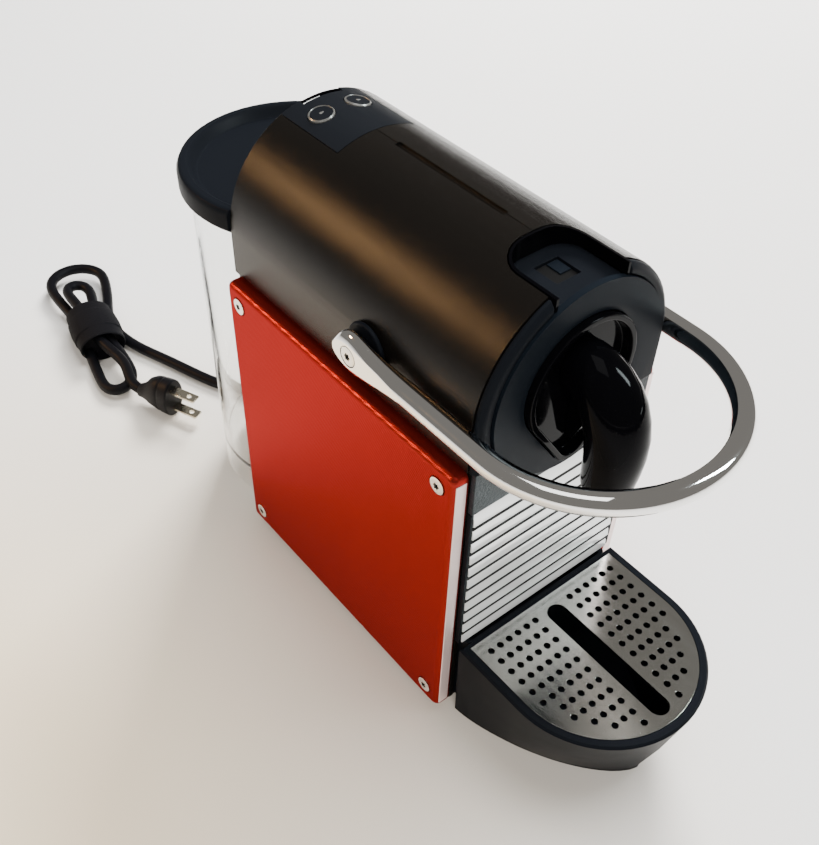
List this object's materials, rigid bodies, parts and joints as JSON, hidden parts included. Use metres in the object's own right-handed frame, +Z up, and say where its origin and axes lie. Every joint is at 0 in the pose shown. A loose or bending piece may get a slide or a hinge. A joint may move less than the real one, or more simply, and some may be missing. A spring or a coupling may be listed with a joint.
{
  "type": "pod coffee machine",
  "caption": "Compact pod coffee machine with a U-shaped chrome lever, capsule slot, curved spout, drip tray with grid, ribbed container front, clear rear tank and tied mains cord.",
  "frame": {"origin": "on the floor, midway between the front of the drip tray and the back of the tank lid", "axes": "+Z up, the front with the spout faces -Y, X is the width"},
  "size_m": [0.1355, 0.5245, 0.2358],
  "materials": {
    "bronze_shell": "satin metallic dark bronze",
    "black_plastic": "fine satin",
    "glossy_black": "polished",
    "red_anodised": "anodised, fine embossed dots",
    "chrome": "polished",
    "steel": "satin",
    "cast_aluminium": "as cast",
    "white_plastic": "smooth",
    "hose_plastic": "smooth",
    "circuit_board": "lacquered",
    "black_rubber": "matte",
    "clear_plastic": "clear"
  },
  "bodies": {
    "housing": {"base_chassis": "black_plastic", "front_foot": "black_rubber", "rear_foot": "black_rubber", "left_half_shell": "bronze_shell", "right_half_shell": "bronze_shell", "left_side_panel": "red_anodised", "right_side_panel": "red_anodised", "left_panel_screw_1": "steel", "left_panel_screw_2": "steel", "left_panel_screw_3": "steel", "left_panel_screw_4": "steel", "right_panel_screw_1": "steel", "right_panel_screw_2": "steel", "right_panel_screw_3": "steel", "right_panel_screw_4": "steel", "slot_frame": "glossy_black", "control_panel": "black_plastic", "tank_light_guide": "white_plastic", "button_board": "circuit_board", "rear_wall": "black_plastic", "front_cover": "black_plastic", "front_bezel": "black_plastic", "front_dial": "black_plastic", "spout_surround": "glossy_black", "coffee_spout": "glossy_black", "left_brew_plate": "cast_aluminium", "right_brew_plate": "cast_aluminium", "brew_head": "black_plastic", "brew_guide_block": "black_plastic", "left_lever_bush": "black_plastic", "right_lever_bush": "black_plastic", "water_pump": "steel", "thermoblock": "cast_aluminium", "flow_meter": "white_plastic", "control_board": "circuit_board", "inlet_hose": "hose_plastic", "pump_hose": "hose_plastic", "heater_hose": "hose_plastic", "brew_hose": "hose_plastic", "tank_dock": "black_plastic", "cord_gland": "black_rubber", "power_cord": "black_rubber", "cord_hank": "black_rubber", "cord_tie": "black_rubber", "power_plug": "black_rubber"},
    "lever": {"lever_bar": "chrome", "left_lever_crank": "steel", "right_lever_crank": "steel"},
    "carriage": {"capsule_cage": "steel", "carriage_yoke": "cast_aluminium", "slot_shutter": "black_plastic"},
    "espresso_button": {"espresso_button": "black_plastic"},
    "lungo_button": {"lungo_button": "black_plastic"},
    "tray": {"drip_tray": "black_plastic"},
    "grid": {"drip_grid": "steel"},
    "container": {"capsule_container": "black_plastic", "container_front": "chrome"},
    "tank": {"water_tank": "clear_plastic", "tank_valve": "black_plastic"},
    "lid": {"tank_lid": "black_plastic"}
  },
  "joints": [
    {"name": "lever_pivot", "type": "hinge", "parent": "housing", "child": "lever", "pos_m": [0, -0.012, 0.1855], "axis": [-1, 0, 0], "range_deg": [0, 85]},
    {"name": "brew_slide", "type": "slide", "parent": "housing", "child": "carriage", "axis": [0, 1, 0], "range_m": [0, 0.0251]},
    {"name": "espresso_button_press", "type": "slide", "parent": "housing", "child": "espresso_button", "axis": [0.1908, 0, -0.9816], "range_m": [0, 0.0012], "stiffness_N_per_m": 800},
    {"name": "lungo_button_press", "type": "slide", "parent": "housing", "child": "lungo_button", "axis": [-0.1908, 0, -0.9816], "range_m": [0, 0.0012], "stiffness_N_per_m": 800},
    {"name": "tray_slide", "type": "slide", "parent": "housing", "child": "tray", "axis": [0, -1, 0], "range_m": [0, 0.1]},
    {"name": "grid_lift", "type": "slide", "parent": "tray", "child": "grid", "axis": [0, 0, 1], "range_m": [0, 0.09]},
    {"name": "container_slide", "type": "slide", "parent": "tray", "child": "container", "axis": [0, -1, 0], "range_m": [0, 0.06]},
    {"name": "tank_lift", "type": "slide", "parent": "housing", "child": "tank", "axis": [0, 0, 1], "range_m": [0, 0.1]},
    {"name": "lid_lift", "type": "slide", "parent": "tank", "child": "lid", "axis": [0, 0, 1], "range_m": [0, 0.06]}
  ],
  "couplings": [
    {"joint": "brew_slide", "follows": "lever_pivot", "m_per_rad": 0.016852}
  ]
}
